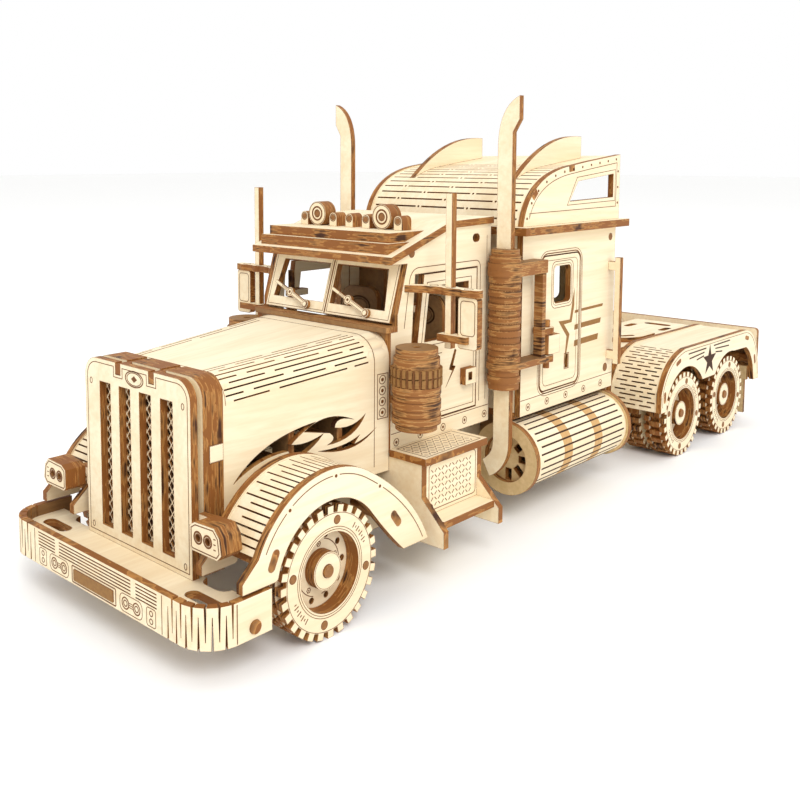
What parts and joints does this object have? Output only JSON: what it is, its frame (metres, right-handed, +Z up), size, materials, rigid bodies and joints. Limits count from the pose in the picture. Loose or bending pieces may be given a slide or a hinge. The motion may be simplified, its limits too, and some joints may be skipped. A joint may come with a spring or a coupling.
{
  "type": "wooden 3d jigsaw truck model",
  "caption": "Laser-cut plywood kit model of a long-nosed tractor truck with sleeper, turning wheels, opening doors and moving wipers.",
  "frame": {"origin": "middle of the footprint on the ground under the truck", "axes": "+Z up, the front of the truck towards -Y, its left side towards +X"},
  "size_m": [0.097, 0.31, 0.131],
  "materials": {
    "ply_face": "raw plywood face",
    "ply_edge": "laser-burnt plywood edge",
    "ply_dark": "dark laser-burnt plywood"
  },
  "bodies": {
    "truck": {"chassis_rails": "ply_edge", "cross_members": "ply_edge", "bumper_band": "ply_face", "bumper_bed": "ply_face", "dowel_pins": "ply_dark", "grille_face": "ply_face", "grille_mesh": "ply_dark", "grille_surround": "ply_edge", "hood_skin": "ply_face", "hood_formers": "ply_edge", "headlight_pods": "ply_face", "front_fender_plates": "ply_face", "front_fender_skins": "ply_face", "fender_braces": "ply_edge", "floor_plates": "ply_edge", "cab_bulkheads": "ply_edge", "cab_sides": "ply_face", "cab_roof": "ply_edge", "visor": "ply_edge", "roof_lamps": "ply_face", "windshield_frame": "ply_face", "cab_interior": "ply_edge", "sleeper_hinge_bars": "ply_edge", "mirrors": "ply_edge", "mirror_posts": "ply_face", "air_cleaners": "ply_dark", "mufflers": "ply_dark", "muffler_brackets": "ply_edge", "exhaust_tips": "ply_face", "exhaust_elbows": "ply_face", "toolboxes": "ply_face", "step_plates": "ply_face", "fuel_tanks": "ply_face", "tank_flanges": "ply_edge", "sleeper_sides": "ply_face", "sleeper_bulkheads": "ply_face", "sleeper_roof": "ply_edge", "fairing_sides": "ply_face", "fairing_skin": "ply_face", "roof_fins": "ply_face", "grab_rails": "ply_face", "deck_plates": "ply_face", "fifth_wheel": "ply_dark", "rear_fender_plates": "ply_face", "rear_fender_skins": "ply_face", "mudflaps": "ply_edge", "rear_bar": "ply_face"},
    "front_axle": {"front_tyres": "ply_face", "front_axle": "ply_dark"},
    "rear_axle_1": {"rear_tyres_1": "ply_face", "rear_axle_1": "ply_dark"},
    "rear_axle_2": {"rear_tyres_2": "ply_face", "rear_axle_2": "ply_dark"},
    "cab_door_left": {"cab_door_left": "ply_face"},
    "cab_door_right": {"cab_door_right": "ply_face"},
    "sleeper_door_left": {"sleeper_door_left": "ply_face"},
    "sleeper_door_right": {"sleeper_door_right": "ply_face"},
    "wiper_left": {"wiper_left": "ply_face"},
    "wiper_right": {"wiper_right": "ply_face"}
  },
  "joints": [
    {"name": "front_axle_turn", "type": "hinge", "parent": "truck", "child": "front_axle", "pos_m": [0, -0.117, 0.016], "axis": [1, 0, 0], "continuous": true},
    {"name": "rear_axle_1_turn", "type": "hinge", "parent": "truck", "child": "rear_axle_1", "pos_m": [0, 0.077, 0.016], "axis": [1, 0, 0], "continuous": true},
    {"name": "rear_axle_2_turn", "type": "hinge", "parent": "truck", "child": "rear_axle_2", "pos_m": [0, 0.118, 0.016], "axis": [1, 0, 0], "continuous": true},
    {"name": "cab_door_left_hinge", "type": "hinge", "parent": "truck", "child": "cab_door_left", "pos_m": [0.024, -0.0675, 0.057], "axis": [0, 0, -1], "range_deg": [0, 55]},
    {"name": "cab_door_right_hinge", "type": "hinge", "parent": "truck", "child": "cab_door_right", "pos_m": [-0.024, -0.0675, 0.057], "axis": [0, 0, 1], "range_deg": [0, 55]},
    {"name": "sleeper_door_left_hinge", "type": "hinge", "parent": "truck", "child": "sleeper_door_left", "pos_m": [0.035, -0.0136, 0.055], "axis": [0, 0, -1], "range_deg": [0, 70]},
    {"name": "sleeper_door_right_hinge", "type": "hinge", "parent": "truck", "child": "sleeper_door_right", "pos_m": [-0.035, -0.0136, 0.055], "axis": [0, 0, 1], "range_deg": [0, 70]},
    {"name": "wiper_left_pivot", "type": "hinge", "parent": "truck", "child": "wiper_left", "pos_m": [0.0165, -0.07679, 0.06982], "axis": [0, 0.9532, -0.3024], "range_deg": [0, 55]},
    {"name": "wiper_right_pivot", "type": "hinge", "parent": "truck", "child": "wiper_right", "pos_m": [-0.0073, -0.07679, 0.06982], "axis": [0, 0.9532, -0.3024], "range_deg": [0, 55]}
  ]
}
